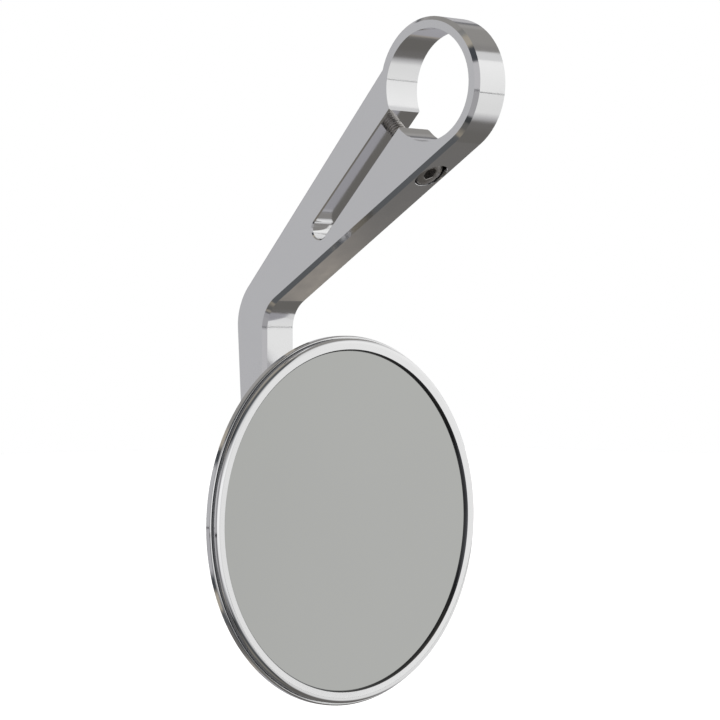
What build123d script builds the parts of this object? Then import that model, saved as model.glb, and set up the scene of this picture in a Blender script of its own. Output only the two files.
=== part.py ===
"""Clamp-on motorcycle mirror: a plate arm that grips a handlebar and carries a round, ball-jointed head.

Millimetres. The origin is the centre of the handlebar bore, X runs along the bar, the glass faces -Y and
Z is up. The arm hangs below the bar and carries the head in front of its neck.
"""
import os
from math import cos, radians, sin, sqrt

from build123d import *

# Clamp ring and plate
bar_diameter = 25.4
ring_wall = 2.7
plate_thickness = 10.0
edge_chamfer = 0.9

# Arm outline, in the plane across the bar
lower_side_angle = 31.0
upper_side_angle = 47.1
upper_side_inset = 1.6
neck_inner_y = 53.1
neck_depth = 10.45
neck_taper = 3.3
inner_bend_radius = 8.0
outer_bend_radius = 13.0
neck_end_below_stud = 7.0
neck_end_radius = 2.5

# Clamping slot
slot_angle = 45.0
slot_width = 4.8
slot_offset = 2.44
slot_end_along = 46.35
slot_edge_break = 0.3

# Clamp screw, square to the slot
screw_from_bore = 3.8
screw_diameter = 4.0
screw_length = 16.0
screw_head_diameter = 7.0
screw_head_height = 4.0
screw_socket_flats = 3.0
screw_socket_depth = 2.2
screw_head_chamfer = 0.3
screw_head_sink = 0.6
counterbore_clearance = 0.3
counterbore_edge_break = 0.2
screw_hole_clearance = 0.25
thread_clearance = 0.02
tapped_hole_run_out = 1.5

# Mirror head, turned about an axis along Y
mirror_z = -98.8
glass_opening_radius = 39.75
glass_recess = 0.75
glass_overlap = 0.6
glass_thickness = 2.0
glass_edge_chamfer = 0.3
pad_margin = 0.5
pad_thickness = 0.8
bezel_inner_bevel = 0.3
bezel_inner_draft = 0.1
bezel_flat_width = 1.3
bezel_round_width = 1.45
bezel_round_depth = 0.75
bezel_rim = 0.1
parting_groove = 0.65
groove_depth = 0.5
seal_height = 0.2
seal_crown = 0.1
spigot_length = 1.65
fit_clearance = 0.05
glass_clearance = 0.1
housing_step = 0.4
housing_front_round = 0.3
housing_band = 0.85
back_bevel_depth = 3.35
back_bevel_run = 3.6
dome_rise = 3.85
dome_sagitta = 0.9
dome_blend_radius = 4.0
housing_floor = 2.25
boss_foot_radius = 1.2

# Ball joint
ball_radius = 5.0
slide_clearance = 0.1
liner_thickness = 0.9
liner_mouth_angle = 52.0
liner_rim_angle = 85.0
cup_web = 1.5
cup_wall = 1.1
cup_rim_angle = 60.0
spring_height = 0.8
spring_thickness = 0.35
spring_hole_radius = 2.4
spring_margin = 0.2

# Socket collar
collar_joint = 2.0
collar_flange = 3.0
collar_wall = 2.9
collar_flange_width = 6.0
collar_nose = 3.3
collar_mouth_angle = 50.0
collar_mouth_flare = 0.35
collar_edge_chamfer = 0.6

# Collar screws, countersunk
collar_screw_count = 3
collar_screw_diameter = 2.5
collar_screw_head_diameter = 4.7
collar_screw_length = 8.0
collar_screw_sink = 0.1
collar_screw_socket_flats = 1.5
collar_screw_socket_depth = 0.9

# Ball stud and its spring washer
stud_reach = 11.0
stud_neck_radius = 2.25
stud_shoulder_radius = 4.4
stud_shoulder_length = 2.6
stud_flat_depth = 0.9
stud_thread_diameter = 5.0
stud_thread_length = 6.0
stud_hole_run_out = 0.8
washer_thickness = 1.2
washer_width = 2.0
washer_split = 0.8

# Worked out from the sizes above: clamp and arm
bore_radius = bar_diameter / 2
ring_radius = bore_radius + ring_wall
half_thickness = plate_thickness / 2
upper_side_offset = ring_radius - upper_side_inset


def in_plate(along, offset):
    """Point of the plate's middle plane, along the slot direction and across it, from the bore centre."""
    y = along * cos(radians(slot_angle)) + offset * sin(radians(slot_angle))
    z = -along * sin(radians(slot_angle)) + offset * cos(radians(slot_angle))
    return Vector(0, y, z)


def heading(angle):
    """Unit direction in the plate's plane, at an angle from +Y towards +Z."""
    return (cos(radians(angle)), sin(radians(angle)))


def crossing(point_a, direction_a, point_b, direction_b):
    """Point where two lines of the arm's outline meet, each given by a point and a direction."""
    ay, az = point_a
    by, bz = point_b
    uy, uz = direction_a
    vy, vz = direction_b
    step = ((by - ay) * vz - (bz - az) * vy) / (uy * vz - uz * vy)
    return (ay + step * uy, az + step * uz)


lower_direction = heading(-lower_side_angle)
lower_tangent = tuple(ring_radius * step for step in heading(-90 - lower_side_angle))
upper_direction = heading(-upper_side_angle)
upper_foot = tuple(upper_side_offset * step for step in heading(90 - upper_side_angle))
outer_direction = heading(90 - neck_taper)

inner_corner = crossing(lower_tangent, lower_direction, (neck_inner_y, 0), (0, 1))
neck_top = (neck_inner_y + neck_depth, inner_corner[1])
outer_corner = crossing(upper_foot, upper_direction, neck_top, outer_direction)
neck_end_z = mirror_z - neck_end_below_stud
neck_end_inner = (neck_inner_y, neck_end_z)
neck_end_outer = crossing(neck_top, outer_direction, (0, neck_end_z), (1, 0))

# Clamp screw stations, measured across the slot along the screw's axis
screw_along = bore_radius + screw_from_bore
slot_low = slot_offset - slot_width / 2
slot_high = slot_offset + slot_width / 2
lower_lean = slot_angle - lower_side_angle
face_station = (screw_along * sin(radians(lower_lean)) - ring_radius) / cos(radians(lower_lean))
head_top_station = face_station + screw_head_sink
head_seat_station = head_top_station + screw_head_height
screw_end_station = head_seat_station + screw_length
screw_axis_out = in_plate(0, -1)
screw_plane_x = (1, 0, 0)
lower_side_out = (0, *heading(-90 - lower_side_angle))

# Radii of the head, and stations measured back from the rim's front plane
glass_radius = glass_opening_radius + glass_overlap
bevel_foot_radius = glass_opening_radius - bezel_inner_bevel
lip_radius = bevel_foot_radius - bezel_inner_draft
bezel_radius = glass_opening_radius + bezel_flat_width + bezel_round_width
bezel_back = bezel_round_depth + bezel_rim
housing_radius = bezel_radius + housing_step
glass_back = glass_recess + glass_thickness
pad_back = glass_back + pad_thickness
pocket_floor = pad_back + housing_floor
cup_front = pocket_floor + spring_height
ball_centre = cup_front + cup_web + slide_clearance + ball_radius
boss_rear = ball_centre - collar_joint
housing_front = bezel_back + parting_groove
spigot_end = bezel_back + spigot_length
spigot_radius = bezel_radius - groove_depth
rim_bore_radius = spigot_radius + fit_clearance
cavity_radius = glass_radius + glass_clearance
band_back = housing_front + housing_front_round + housing_band
bevel_end_radius = housing_radius - back_bevel_run
bevel_end = band_back + back_bevel_depth
dome_foot = bevel_end + dome_rise
rim_front_y = neck_inner_y - stud_reach - ball_centre

# Radii of the ball joint, and stations measured back from the ball's centre
liner_inner = ball_radius + slide_clearance
liner_outer = liner_inner + liner_thickness
socket_radius = liner_outer + slide_clearance
collar_nose_radius = socket_radius + collar_wall
boss_radius = collar_nose_radius + collar_flange_width
collar_screw_circle = (collar_nose_radius + boss_radius) / 2
cup_rim_radius = liner_inner * sin(radians(cup_rim_angle))
cup_radius = cup_rim_radius + cup_wall
pocket_radius = cup_radius + slide_clearance
collar_front = -collar_joint
collar_step = collar_front + collar_flange
collar_rear = collar_step + collar_nose
shoulder_rear = stud_reach - washer_thickness
shoulder_front = shoulder_rear - stud_shoulder_length
washer_inner_radius = stud_thread_diameter / 2 + slide_clearance
washer_outer_radius = washer_inner_radius + washer_width
counterbore_radius = screw_head_diameter / 2 + counterbore_clearance

head_plane = Plane(origin=(0, rim_front_y, mirror_z))
head_axis = Axis((0, rim_front_y, mirror_z), (0, 1, 0))
ball_plane = Plane(origin=(0, rim_front_y + ball_centre, mirror_z))


def on_sphere(radius, angle):
    """Point of a head profile on a sphere about the ball, at an angle from the axis behind it."""
    return (radius * sin(radians(angle)), radius * cos(radians(angle)))


def rear_view_plane(station):
    """Plane across the head's axis, at a station behind the rim's front, looking back."""
    return Plane(origin=(0, rim_front_y + station, mirror_z), x_dir=(1, 0, 0), z_dir=(0, 1, 0))


def screw_plane(station):
    """Plane square to the clamp screw, at a station along it, looking out of the counterbore."""
    return Plane(origin=in_plate(screw_along, station), x_dir=screw_plane_x, z_dir=screw_axis_out)


neck_stud_plane = rear_view_plane(neck_inner_y - rim_front_y)
counterbore_mouth_plane = Plane(
    origin=in_plate(screw_along, face_station), x_dir=screw_plane_x, z_dir=lower_side_out
)

os.makedirs("parts", exist_ok=True)

# Arm: clamp ring, tapering plate, bend and neck from one piece of plate
with BuildPart() as arm:
    with BuildSketch(Plane.YZ) as outline:
        with BuildLine():
            Polyline(
                upper_foot,
                lower_tangent,
                inner_corner,
                neck_end_inner,
                neck_end_outer,
                outer_corner,
                close=True,
            )
        make_face()
        fillet(outline.vertices().sort_by_distance(inner_corner)[0], inner_bend_radius)
        fillet(outline.vertices().sort_by_distance(outer_corner)[0], outer_bend_radius)
        fillet(outline.vertices().sort_by_distance(neck_end_inner)[0], neck_end_radius)
        fillet(outline.vertices().sort_by_distance(neck_end_outer)[0], neck_end_radius)
        Circle(ring_radius)
    extrude(amount=half_thickness, both=True)
    plate_faces = arm.faces().filter_by(Axis.X).sort_by(Axis.X)
    chamfer(plate_faces[0].edges() + plate_faces[-1].edges(), edge_chamfer)
    with BuildSketch(Plane.YZ):
        Circle(bore_radius)
    extrude(amount=half_thickness, both=True, mode=Mode.SUBTRACT)
    slot_line_plane = Plane(origin=in_plate(0, slot_offset), x_dir=in_plate(1, 0), z_dir=(1, 0, 0))
    with BuildSketch(slot_line_plane):
        with Locations((slot_end_along / 2, 0)):
            Rectangle(slot_end_along, slot_width)
        with Locations((slot_end_along, 0)):
            Circle(slot_width / 2)
    extrude(amount=half_thickness, both=True, mode=Mode.SUBTRACT)
    plate_faces = arm.faces().filter_by(Axis.X).sort_by(Axis.X)
    clamp_edges = plate_faces[0].inner_wires()[0].edges() + plate_faces[-1].inner_wires()[0].edges()
    round_edges = clamp_edges.filter_by(GeomType.CIRCLE)
    slot_end_edges = round_edges.filter_by(lambda edge: edge.radius < bore_radius)
    chamfer(clamp_edges.filter_by(GeomType.LINE) + slot_end_edges, slot_edge_break)
    with BuildSketch(screw_plane(head_seat_station)):
        Circle(counterbore_radius)
    extrude(amount=2 * screw_head_height, mode=Mode.SUBTRACT)
    with BuildSketch(counterbore_mouth_plane):
        Circle(counterbore_radius + counterbore_edge_break)
    extrude(amount=-3 * counterbore_edge_break, taper=45, mode=Mode.SUBTRACT)
    with BuildSketch(screw_plane(head_seat_station)):
        Circle(screw_diameter / 2 + screw_hole_clearance)
    extrude(amount=head_seat_station - slot_low, mode=Mode.SUBTRACT)
    with BuildSketch(screw_plane(slot_high)):
        Circle(screw_diameter / 2)
    extrude(amount=slot_high - screw_end_station - tapped_hole_run_out, mode=Mode.SUBTRACT)
    with BuildSketch(neck_stud_plane):
        Circle(stud_thread_diameter / 2)
    extrude(amount=stud_thread_length - washer_thickness + stud_hole_run_out, mode=Mode.SUBTRACT)
arm.part.label = "arm"
export_step(arm.part, "parts/arm.step")

# Clamp screw: socket head, plain shank in place of the thread
with BuildPart() as clamp_screw:
    with BuildSketch(screw_plane(head_seat_station)):
        Circle(screw_head_diameter / 2)
    extrude(amount=screw_head_height)
    chamfer(clamp_screw.faces().sort_by(Axis.Z)[0].edges(), screw_head_chamfer)
    with BuildSketch(screw_plane(head_top_station)):
        RegularPolygon(screw_socket_flats / 2, 6, major_radius=False)
    extrude(amount=-screw_socket_depth, mode=Mode.SUBTRACT)
    with BuildSketch(screw_plane(head_seat_station)):
        Circle(screw_diameter / 2 - thread_clearance)
    extrude(amount=-screw_length)
clamp_screw.part.label = "clamp_screw"
export_step(clamp_screw.part, "parts/clamp_screw.step")

# Bezel ring: rounded front lip with a bevelled inner edge over the glass, and a spigot into the housing
with BuildPart() as bezel_ring:
    with BuildSketch(head_plane):
        with BuildLine():
            bezel_flat_end = (glass_opening_radius + bezel_flat_width, 0)
            bezel_round_end = (bezel_radius, bezel_round_depth)
            Line((glass_opening_radius, 0), bezel_flat_end)
            TangentArc(bezel_flat_end, bezel_round_end, tangent=(1, 0))
            Polyline(
                bezel_round_end,
                (bezel_radius, bezel_back),
                (spigot_radius, bezel_back),
                (spigot_radius, spigot_end),
                (cavity_radius, spigot_end),
                (cavity_radius, glass_recess),
                (lip_radius, glass_recess),
                (bevel_foot_radius, bezel_inner_bevel),
                (glass_opening_radius, 0),
            )
        make_face()
    revolve(axis=head_axis)
bezel_ring.part.label = "bezel_ring"
export_step(bezel_ring.part, "parts/bezel_ring.step")

# Rim seal: rubber ring with a crowned face in the groove between bezel and housing
with BuildPart() as rim_seal:
    seal_edge = spigot_radius + seal_height
    seal_middle = (seal_edge + seal_crown, (bezel_back + housing_front) / 2)
    with BuildSketch(head_plane):
        with BuildLine():
            ThreePointArc((seal_edge, bezel_back), seal_middle, (seal_edge, housing_front))
            Polyline(
                (seal_edge, housing_front),
                (spigot_radius, housing_front),
                (spigot_radius, bezel_back),
                (seal_edge, bezel_back),
            )
        make_face()
    revolve(axis=head_axis)
rim_seal.part.label = "rim_seal"
export_step(rim_seal.part, "parts/rim_seal.step")

# Mirror glass: flat disc with a ground edge
with BuildPart() as mirror_glass:
    with BuildSketch(head_plane):
        with Locations((glass_radius / 2, glass_recess + glass_thickness / 2)):
            Rectangle(glass_radius, glass_thickness)
    revolve(axis=head_axis)
    chamfer(mirror_glass.edges().filter_by(GeomType.CIRCLE), glass_edge_chamfer)
mirror_glass.part.label = "mirror_glass"
export_step(mirror_glass.part, "parts/mirror_glass.step")

# Glass pad: thin bonding foam between the glass and the housing's floor
with BuildPart() as glass_pad:
    pad_radius = glass_radius - pad_margin
    with BuildSketch(head_plane):
        with Locations((pad_radius / 2, glass_back + pad_thickness / 2)):
            Rectangle(pad_radius, pad_thickness)
    revolve(axis=head_axis)
glass_pad.part.label = "glass_pad"
export_step(glass_pad.part, "parts/glass_pad.step")

# Mirror housing: turned dish with a rounded band, bevelled and domed back and a boss for the ball joint
with BuildPart() as mirror_housing:
    with BuildSketch(head_plane) as housing_section:
        with BuildLine():
            front_round_start = (housing_radius - housing_front_round, housing_front)
            front_round_end = (housing_radius, housing_front + housing_front_round)
            Polyline(
                (0, pad_back),
                (cavity_radius, pad_back),
                (cavity_radius, spigot_end),
                (rim_bore_radius, spigot_end),
                (rim_bore_radius, housing_front),
                front_round_start,
            )
            TangentArc(front_round_start, front_round_end, tangent=(1, 0))
            Polyline(front_round_end, (housing_radius, band_back), (bevel_end_radius, bevel_end))
            SagittaArc((bevel_end_radius, bevel_end), (boss_radius, dome_foot), -dome_sagitta)
            Polyline(
                (boss_radius, dome_foot),
                (boss_radius, boss_rear),
                (pocket_radius, boss_rear),
                (pocket_radius, pocket_floor),
                (0, pocket_floor),
                (0, pad_back),
            )
        make_face()
        dome_edge = housing_section.vertices().sort_by_distance((bevel_end_radius, bevel_end))[0]
        fillet(dome_edge, dome_blend_radius)
        boss_foot = housing_section.vertices().sort_by_distance((boss_radius, dome_foot))[0]
        fillet(boss_foot, boss_foot_radius)
    revolve(axis=head_axis)
    with BuildSketch(rear_view_plane(boss_rear)):
        with PolarLocations(collar_screw_circle, collar_screw_count, start_angle=90):
            Circle(collar_screw_diameter / 2)
    extrude(amount=collar_flange - collar_screw_length, mode=Mode.SUBTRACT)
mirror_housing.part.label = "mirror_housing"
export_step(mirror_housing.part, "parts/mirror_housing.step")

# Pressure spring: conical disc spring that loads the front cup against the ball
with BuildPart() as pressure_spring:
    spring_rim = pocket_radius - spring_margin
    spring_top = spring_height - slide_clearance
    with BuildSketch(head_plane):
        with BuildLine():
            Polyline(
                (spring_rim, pocket_floor),
                (spring_rim, pocket_floor + spring_thickness),
                (spring_hole_radius, pocket_floor + spring_top),
                (spring_hole_radius, pocket_floor + spring_top - spring_thickness),
                close=True,
            )
        make_face()
    revolve(axis=head_axis)
pressure_spring.part.label = "pressure_spring"
export_step(pressure_spring.part, "parts/pressure_spring.step")

# Front ball cup: plain bearing cup, free to turn in the housing's pocket
with BuildPart() as front_ball_cup:
    cup_rim = -liner_inner * cos(radians(cup_rim_angle))
    with BuildSketch(ball_plane):
        with BuildLine():
            cup_bottom = (0, -liner_inner)
            cup_edge = (cup_rim_radius, cup_rim)
            cup_middle = on_sphere(liner_inner, 180 - cup_rim_angle / 2)
            ThreePointArc(cup_bottom, cup_middle, cup_edge)
            Polyline(
                cup_edge, (cup_radius, cup_rim), (cup_radius, cup_front - ball_centre),
                (0, cup_front - ball_centre), cup_bottom,
            )
        make_face()
    revolve(axis=head_axis)
front_ball_cup.part.label = "front_ball_cup"
export_step(front_ball_cup.part, "parts/front_ball_cup.step")

# Rear ball liner: spherical bearing ring between the ball and the collar
with BuildPart() as rear_ball_liner:
    liner_angles = (liner_mouth_angle, (liner_mouth_angle + liner_rim_angle) / 2, liner_rim_angle)
    with BuildSketch(ball_plane):
        with BuildLine():
            inside = ThreePointArc(*(on_sphere(liner_inner, angle) for angle in liner_angles))
            outside = ThreePointArc(*(on_sphere(liner_outer, angle) for angle in liner_angles))
            Line(inside @ 0, outside @ 0)
            Line(inside @ 1, outside @ 1)
        make_face()
    revolve(axis=head_axis)
rear_ball_liner.part.label = "rear_ball_liner"
export_step(rear_ball_liner.part, "parts/rear_ball_liner.step")

# Socket collar: flanged ring screwed to the boss, with a spherical seat and a flared mouth
with BuildPart() as socket_collar:
    with BuildSketch(ball_plane) as collar_section:
        with BuildLine():
            mouth = on_sphere(socket_radius, collar_mouth_angle)
            seat_middle = on_sphere(socket_radius, (collar_mouth_angle + 90) / 2)
            Line((socket_radius, collar_front), (socket_radius, 0))
            ThreePointArc((socket_radius, 0), seat_middle, mouth)
            Polyline(
                mouth,
                (mouth[0] + collar_mouth_flare, collar_rear),
                (collar_nose_radius, collar_rear),
                (collar_nose_radius, collar_step),
                (boss_radius, collar_step),
                (boss_radius, collar_front),
                (socket_radius, collar_front),
            )
        make_face()
        outside_corners = [(collar_nose_radius, collar_rear), (boss_radius, collar_step)]
        chamfer(
            [collar_section.vertices().sort_by_distance(corner)[0] for corner in outside_corners],
            collar_edge_chamfer,
        )
    revolve(axis=head_axis)
    collar_face_plane = rear_view_plane(ball_centre + collar_step)
    with Locations(collar_face_plane):
        with PolarLocations(collar_screw_circle, collar_screw_count, start_angle=90):
            CounterSinkHole(collar_screw_diameter / 2, collar_screw_head_diameter / 2)
socket_collar.part.label = "socket_collar"
export_step(socket_collar.part, "parts/socket_collar.step")

# Collar screws: countersunk, socket driven
collar_screw_head = collar_screw_head_diameter / 2 - collar_screw_diameter / 2
with BuildPart() as collar_screws:
    with BuildSketch(collar_face_plane.offset(-collar_screw_sink)):
        with PolarLocations(collar_screw_circle, collar_screw_count, start_angle=90):
            Circle(collar_screw_head_diameter / 2 - collar_screw_sink - thread_clearance)
    extrude(amount=-collar_screw_head, taper=45)
    with BuildSketch(collar_face_plane.offset(-collar_screw_sink)):
        with PolarLocations(collar_screw_circle, collar_screw_count, start_angle=90):
            Circle(collar_screw_diameter / 2 - thread_clearance)
    extrude(amount=collar_screw_sink - collar_screw_length)
    with BuildSketch(collar_face_plane.offset(-collar_screw_sink)):
        with PolarLocations(collar_screw_circle, collar_screw_count, start_angle=90):
            RegularPolygon(collar_screw_socket_flats / 2, 6, major_radius=False)
    extrude(amount=-collar_screw_socket_depth, mode=Mode.SUBTRACT)
collar_screws.part.label = "collar_screws"
export_step(collar_screws.part, "parts/collar_screws.step")

# Ball stud: ball, waist and shoulder with spanner flats, threaded into the neck
with BuildPart() as ball_stud:
    waist_start = sqrt(ball_radius**2 - stud_neck_radius**2)
    shank_radius = stud_thread_diameter / 2 - thread_clearance
    shank_end = shoulder_rear + stud_thread_length
    with BuildSketch(ball_plane):
        with BuildLine():
            ThreePointArc((0, -ball_radius), on_sphere(ball_radius, 90), (stud_neck_radius, waist_start))
            Polyline(
                (stud_neck_radius, waist_start),
                (stud_neck_radius, shoulder_front),
                (stud_shoulder_radius, shoulder_front),
                (stud_shoulder_radius, shoulder_rear),
                (shank_radius, shoulder_rear),
                (shank_radius, shank_end),
                (0, shank_end),
                (0, -ball_radius),
            )
        make_face()
    revolve(axis=head_axis)
    shoulder_flats = 2 * (stud_shoulder_radius - stud_flat_depth)
    with BuildSketch(neck_stud_plane.offset(-washer_thickness)):
        Circle(stud_shoulder_radius)
        Rectangle(shoulder_flats, 2 * stud_shoulder_radius, mode=Mode.SUBTRACT)
    extrude(amount=-stud_shoulder_length, mode=Mode.SUBTRACT)
ball_stud.part.label = "ball_stud"
export_step(ball_stud.part, "parts/ball_stud.step")

# Stud washer: split spring washer between the stud's shoulder and the neck
with BuildPart() as stud_washer:
    with BuildSketch(neck_stud_plane):
        Circle(washer_outer_radius)
        Circle(washer_inner_radius, mode=Mode.SUBTRACT)
        with Locations((0, washer_outer_radius)):
            Rectangle(washer_split, 2 * washer_outer_radius, mode=Mode.SUBTRACT)
    extrude(amount=-washer_thickness)
stud_washer.part.label = "stud_washer"
export_step(stud_washer.part, "parts/stud_washer.step")
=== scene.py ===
"""Clamp-on motorcycle mirror: finishes, turned rim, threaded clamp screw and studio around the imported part.

Metres, in the part's own frame: the origin is the centre of the handlebar bore, X runs along the bar, the
glass faces -Y and Z is up.
"""
from collections import namedtuple
from math import atan, cos, pi, radians, sin

import bpy
import numpy as np
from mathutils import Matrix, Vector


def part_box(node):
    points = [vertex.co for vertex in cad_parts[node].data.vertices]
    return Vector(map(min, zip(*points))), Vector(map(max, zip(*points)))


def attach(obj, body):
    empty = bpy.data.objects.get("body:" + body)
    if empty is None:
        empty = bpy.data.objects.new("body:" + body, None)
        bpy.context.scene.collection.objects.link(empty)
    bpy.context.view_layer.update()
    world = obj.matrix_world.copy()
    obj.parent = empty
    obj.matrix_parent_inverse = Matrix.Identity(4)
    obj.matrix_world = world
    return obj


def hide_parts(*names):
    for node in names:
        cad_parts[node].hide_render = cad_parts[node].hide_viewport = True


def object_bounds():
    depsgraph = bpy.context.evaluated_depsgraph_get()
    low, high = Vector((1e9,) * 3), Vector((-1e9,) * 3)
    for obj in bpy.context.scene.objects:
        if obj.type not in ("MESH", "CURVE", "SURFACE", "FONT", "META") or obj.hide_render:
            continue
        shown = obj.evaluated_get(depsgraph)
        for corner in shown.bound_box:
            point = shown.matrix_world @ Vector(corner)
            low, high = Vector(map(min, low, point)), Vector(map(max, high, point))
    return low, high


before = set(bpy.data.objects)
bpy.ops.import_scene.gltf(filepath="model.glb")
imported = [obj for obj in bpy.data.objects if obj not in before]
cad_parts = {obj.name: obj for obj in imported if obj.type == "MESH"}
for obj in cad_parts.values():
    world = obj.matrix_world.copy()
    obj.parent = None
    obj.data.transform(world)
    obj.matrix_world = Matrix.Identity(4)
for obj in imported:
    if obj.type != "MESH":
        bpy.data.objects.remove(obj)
cad_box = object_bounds()

bl_info = {
    "name": "Clamp-on mirror",
    "version": (1, 0, 0),
    "blender": (4, 5, 0),
    "location": "View3D > Sidebar > Mirror",
    "description": "Finishes, turned rim, clamp screw and studio for a clamp-on motorcycle mirror",
    "category": "Object",
}

MM = 0.001
HEAD_AXIS = (0.0, 0.0, -98.8 * MM)
HEAD_TO_ORIGIN = tuple(-place for place in HEAD_AXIS)
BOX_SLACK = 0.1 * MM
# Name of the point attribute that marks the clamp screw's socket for its painted shade
SOCKET_SHADE = "socket_shade"

# How far a polished surface's roughness falls and rises from place to place
GLOSS_SPREAD = (0.7, 1.3)
# Width of a wave texture's ring at a scale of 1, because the texture takes 20 radians for each unit
RING_WIDTH = 2 * pi / 20
# The mix node's inputs by their place, because their names repeat, and the place of its colour output
SHARE, NUMBER_A, NUMBER_B, COLOUR_A, COLOUR_B, MIXED_COLOUR = 0, 2, 3, 6, 7, 2


def linear(code):
    """Linear RGBA of an sRGB hex colour."""
    parts = np.array([int(code[i:i + 2], 16) for i in (1, 3, 5)]) / 255
    parts = np.where(parts <= 0.04045, parts / 12.92, ((parts + 0.055) / 1.055) ** 2.4)
    return (*parts.tolist(), 1.0)


def per_metre(size_mm):
    """Texture scale that repeats a pattern once in each step of this many millimetres."""
    return 1 / (size_mm * MM)


def add_node(tree, kind, settings=(), values=()):
    """Adds a node, sets its own properties, and gives each input a constant or a link from a socket."""
    node = tree.nodes.new(kind)
    for key, value in dict(settings).items():
        setattr(node, key, value)
    for key, value in dict(values).items():
        if isinstance(value, bpy.types.NodeSocket):
            tree.links.new(value, node.inputs[key])
        else:
            node.inputs[key].default_value = value
    return node


def new_finish(name):
    """Empty material with its shader and output, and the object's own coordinates."""
    material = bpy.data.materials.new(name)
    material.use_nodes = True
    tree = material.node_tree
    tree.nodes.clear()
    shader = add_node(tree, "ShaderNodeBsdfPrincipled")
    add_node(tree, "ShaderNodeOutputMaterial", values={"Surface": shader.outputs[0]})
    place = add_node(tree, "ShaderNodeTexCoord").outputs["Object"]
    return material, tree, shader.inputs, place


def polished_plate_aluminium(look):
    """Plate aluminium, milled and polished: near mirror, with the mop's faint haze and lines fore and aft.

    The lines are drawn coarser than the mop's own, so that they show. The turn after their stretch keeps the
    noise's grid off the part's axes.
    """
    material, tree, shader, place = new_finish("polished_plate_aluminium")
    shader["Base Color"].default_value = look.aluminium
    shader["Metallic"].default_value = 1.0
    haze = add_node(tree, "ShaderNodeTexNoise", values={
        "Vector": place, "Scale": per_metre(7), "Detail": 3.0})
    clearest, dullest = (look.polish_roughness * share for share in GLOSS_SPREAD)
    gloss = add_node(tree, "ShaderNodeMapRange", values={
        "Value": haze.outputs[0], "From Min": 0.3, "From Max": 0.7, "To Min": clearest, "To Max": dullest})
    tree.links.new(gloss.outputs[0], shader["Roughness"])
    stretch = add_node(tree, "ShaderNodeMapping", values={
        "Vector": place, "Rotation": (radians(45), 0, 0), "Scale": (1.0, 0.04, 1.0)})
    lines = add_node(tree, "ShaderNodeTexNoise", values={
        "Vector": stretch.outputs[0], "Scale": per_metre(0.25), "Detail": 2.0})
    relief = add_node(tree, "ShaderNodeBump", values={
        "Height": lines.outputs[0], "Strength": 0.6, "Distance": 0.0004 * MM})
    tree.links.new(relief.outputs[0], shader["Normal"])
    return material


def turned_polished_aluminium(look, name="turned_polished_aluminium", shaded_within=0.0):
    """Turned aluminium, polished on the lathe: near mirror, its gloss faintly ringed round the head's axis.

    The rings are drawn far wider than the tool's own, so that they show. Nearer to the axis than
    shaded_within the lip round the glass is painted dark and satin: painted shade of the recess.
    """
    lip_blur, black_roughness = 0.03 * MM, 0.28
    material, tree, shader, place = new_finish(name)
    shader["Metallic"].default_value = 1.0
    centred = add_node(tree, "ShaderNodeMapping", values={
        "Vector": place, "Location": HEAD_TO_ORIGIN, "Scale": (1.0, 0.0, 1.0)}).outputs[0]
    rings = add_node(tree, "ShaderNodeTexWave", {"wave_type": "RINGS", "rings_direction": "Y"}, {
        "Vector": centred, "Scale": RING_WIDTH * per_metre(3.77), "Distortion": 0.6, "Detail": 2.0,
        "Detail Scale": 3.0})
    haze = add_node(tree, "ShaderNodeTexNoise", values={
        "Vector": place, "Scale": per_metre(9), "Detail": 3.0})
    worn = add_node(tree, "ShaderNodeMix", values={
        SHARE: 0.4, NUMBER_A: haze.outputs[0], NUMBER_B: rings.outputs["Fac"]})
    clearest, dullest = (look.turned_roughness * share for share in GLOSS_SPREAD)
    gloss = add_node(tree, "ShaderNodeMapRange", values={
        "Value": worn.outputs[0], "From Min": 0.2, "From Max": 0.8, "To Min": clearest, "To Max": dullest})
    away = add_node(tree, "ShaderNodeVectorMath", {"operation": "LENGTH"}, {0: centred}).outputs["Value"]
    # Painted shade: nearer to the axis than shaded_within, the lip round the glass turns dark and satin for
    # the shade of its recess
    black = add_node(tree, "ShaderNodeMapRange", values={
        "Value": away, "From Min": shaded_within, "From Max": shaded_within - lip_blur}).outputs[0]
    tone = add_node(tree, "ShaderNodeMix", {"data_type": "RGBA"}, {
        SHARE: black, COLOUR_A: look.aluminium, COLOUR_B: look.painted_lip_shade})
    tree.links.new(tone.outputs[MIXED_COLOUR], shader["Base Color"])
    satin = add_node(tree, "ShaderNodeMix", values={
        SHARE: black, NUMBER_A: gloss.outputs[0], NUMBER_B: black_roughness})
    tree.links.new(satin.outputs[0], shader["Roughness"])
    return material


def chromed_mirror_glass(look):
    """Float glass with a chromium film: a flat, neutral mirror that returns about half of the light."""
    material, tree, shader, place = new_finish("chromed_mirror_glass")
    shader["Metallic"].default_value = 1.0
    film = add_node(tree, "ShaderNodeTexNoise", values={
        "Vector": place, "Scale": per_metre(30), "Detail": 2.0})
    thicker = [part * 1.03 for part in look.mirror_film[:3]] + [1.0]
    tint = add_node(tree, "ShaderNodeMix", {"data_type": "RGBA"}, {
        SHARE: film.outputs[0], COLOUR_A: look.mirror_film, COLOUR_B: thicker})
    tree.links.new(tint.outputs[MIXED_COLOUR], shader["Base Color"])
    dust = add_node(tree, "ShaderNodeTexNoise", values={
        "Vector": place, "Scale": per_metre(0.4), "Detail": 1.0})
    gloss = add_node(tree, "ShaderNodeMapRange", values={
        "Value": dust.outputs[0], "From Min": 0.4, "From Max": 0.9, "To Min": 0.004, "To Max": 0.012})
    tree.links.new(gloss.outputs[0], shader["Roughness"])
    return material


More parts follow.
